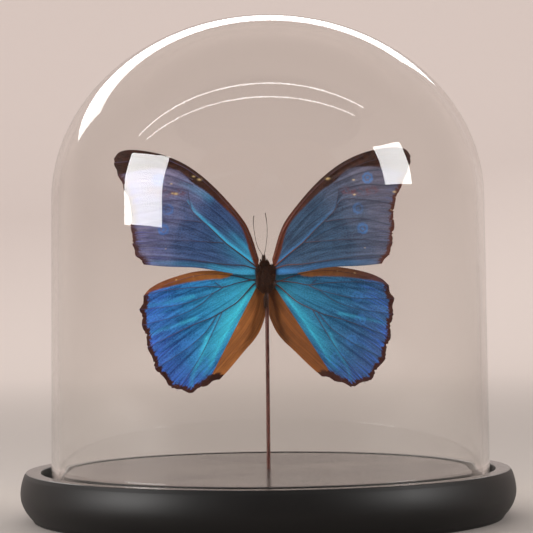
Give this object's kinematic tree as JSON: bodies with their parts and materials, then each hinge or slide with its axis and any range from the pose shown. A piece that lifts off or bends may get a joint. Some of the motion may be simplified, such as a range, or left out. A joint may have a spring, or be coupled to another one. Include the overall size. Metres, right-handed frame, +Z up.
{
  "type": "insect in glass dome",
  "caption": "Blue butterfly with spread wings, held upright on a thin rod above a round black base and covered by a clear glass dome.",
  "frame": {"origin": "centre of the base's underside, on the surface that it stands on", "axes": "+Z up along the rod and the dome's axis; the butterfly's upper side faces -Y, and its head points to +Z"},
  "size_m": [0.203, 0.203, 0.2063],
  "materials": {
    "lacquered_wood": "satin black lacquer over turned wood",
    "clear_glass": "clear polished blown glass, very slightly warm",
    "rod_lacquer": "thin dark red-brown lacquer",
    "insect_fur": "dense dark brown hair",
    "insect_shell": "dark, faintly glossy chitin",
    "insect_eye": "dark glossy compound eye",
    "wing_scales": "iridescent blue scales above, brown with eye spots below"
  },
  "bodies": {
    "root": {"abdomen": "insect_shell", "antenna_left": "insect_shell", "antenna_right": "insect_shell", "base": "lacquered_wood", "eye_left": "insect_eye", "eye_right": "insect_eye", "forewing_left": "wing_scales", "forewing_right": "wing_scales", "glass_dome": "clear_glass", "head": "insect_fur", "hindwing_left": "wing_scales", "hindwing_right": "wing_scales", "leg_left_hind": "insect_shell", "leg_left_middle": "insect_shell", "leg_right_hind": "insect_shell", "leg_right_middle": "insect_shell", "palp_left": "insect_fur", "palp_right": "insect_fur", "proboscis": "insect_shell", "rod": "rod_lacquer", "thorax": "insect_fur"}
  },
  "joints": []
}
